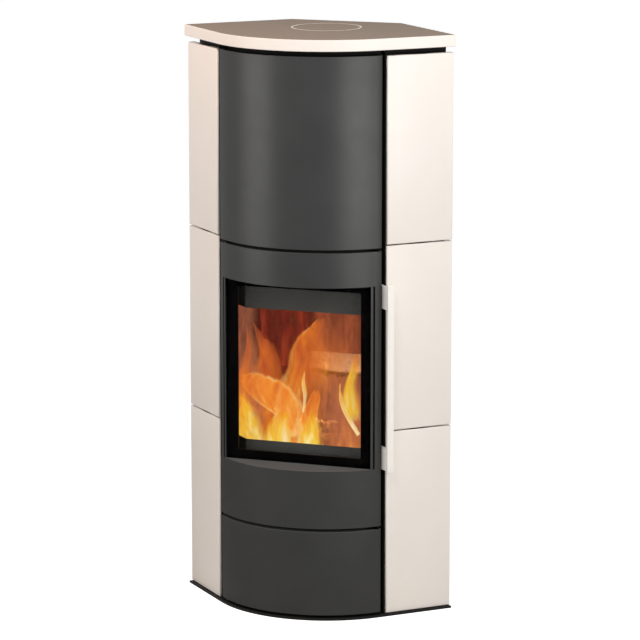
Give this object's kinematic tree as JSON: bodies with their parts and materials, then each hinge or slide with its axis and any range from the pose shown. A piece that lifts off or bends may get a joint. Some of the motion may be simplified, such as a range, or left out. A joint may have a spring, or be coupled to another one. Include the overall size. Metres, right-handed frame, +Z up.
{
  "type": "tiled stove",
  "caption": "Tall corner wood stove with ceramic tile sides, a round graphite front with a glazed firebox door, an upright pull handle, a compartment below and a thick top plate.",
  "frame": {"origin": "on the floor, under the middle of the top plate's box", "axes": "+Z up, -Y out of the round front, +X to the right as seen from the front"},
  "size_m": [0.66, 0.4104, 1.34],
  "materials": {
    "ivory_glaze": "satin glaze",
    "ivory_enamel": "satin enamel",
    "graphite_paint": "satin heat-proof paint",
    "black_steel": "matt black paint",
    "bright_steel": "plain",
    "cast_iron": "as cast",
    "fireboard": "matt, sooted",
    "store_stone": "matt",
    "rope_seal": "woven",
    "window_glass": "polished"
  },
  "bodies": {
    "stove_body": {"tile_right_1": "ivory_glaze", "tile_right_2": "ivory_glaze", "tile_right_3": "ivory_glaze", "tile_left_1": "ivory_glaze", "tile_left_2": "ivory_glaze", "tile_left_3": "ivory_glaze", "top_plate": "ivory_glaze", "upper_panel": "graphite_paint", "air_bar": "graphite_paint", "log_guard": "graphite_paint", "air_deflector": "graphite_paint", "base_plate": "black_steel", "side_panel_right": "black_steel", "side_panel_left": "black_steel", "rear_panel_right": "black_steel", "rear_panel_left": "black_steel", "rear_panel_back": "black_steel", "lower_floor": "black_steel", "upper_floor": "black_steel", "roof_sheet": "black_steel", "tile_carrier_right": "black_steel", "tile_carrier_left": "black_steel", "firebox_shell": "black_steel", "firebox_front": "black_steel", "firebox_ceiling": "black_steel", "hearth_plate": "black_steel", "air_duct": "black_steel", "flue_collar": "bright_steel", "ash_pan": "bright_steel", "grate": "cast_iron", "magnet_catch": "cast_iron", "side_lining_right": "fireboard", "side_lining_left": "fireboard", "rear_lining_right": "fireboard", "rear_lining_left": "fireboard", "back_lining": "fireboard", "hearth_stone": "fireboard", "baffle": "fireboard", "store_block_1": "store_stone", "store_block_2": "store_stone"},
    "firebox_door": {"door_skin": "graphite_paint", "door_frame": "black_steel", "door_glass": "window_glass", "door_seal": "rope_seal", "glass_retainer_right": "graphite_paint", "glass_retainer_left": "graphite_paint", "handle_bar": "ivory_enamel", "handle_bracket_upper": "ivory_enamel", "handle_bracket_lower": "ivory_enamel", "door_pivot_upper": "bright_steel", "door_pivot_lower": "bright_steel"},
    "upper_roller": {"catch_roller_upper": "bright_steel"},
    "lower_roller": {"catch_roller_lower": "bright_steel"},
    "compartment_door": {"lower_door_panel": "graphite_paint", "lower_door_liner": "black_steel", "lower_door_pivot_upper": "bright_steel", "lower_door_pivot_lower": "bright_steel"},
    "flue_cover_disc": {"flue_cover": "ivory_glaze"},
    "air_control": {"air_slider": "bright_steel"}
  },
  "joints": [
    {"name": "firebox_door_hinge", "type": "hinge", "parent": "stove_body", "child": "firebox_door", "pos_m": [-0.18314, -0.10745, 0.536], "axis": [0, 0, -1], "range_deg": [0, 110]},
    {"name": "compartment_door_hinge", "type": "hinge", "parent": "stove_body", "child": "compartment_door", "pos_m": [-0.18314, -0.10745, 0.11], "axis": [0, 0, -1], "range_deg": [0, 110]},
    {"name": "flue_cover_lift", "type": "slide", "parent": "stove_body", "child": "flue_cover_disc", "axis": [0, 0, 1], "range_m": [0, 0.15]},
    {"name": "air_control_slide", "type": "slide", "parent": "stove_body", "child": "air_control", "axis": [1, 0, 0], "range_m": [0, 0.05]},
    {"name": "upper_roller_spin", "type": "hinge", "parent": "firebox_door", "child": "upper_roller", "pos_m": [0.15, -0.1087, 0.81], "axis": [0, 0, 1], "continuous": true},
    {"name": "lower_roller_spin", "type": "hinge", "parent": "firebox_door", "child": "lower_roller", "pos_m": [0.15, -0.1087, 0.262], "axis": [0, 0, 1], "continuous": true}
  ]
}
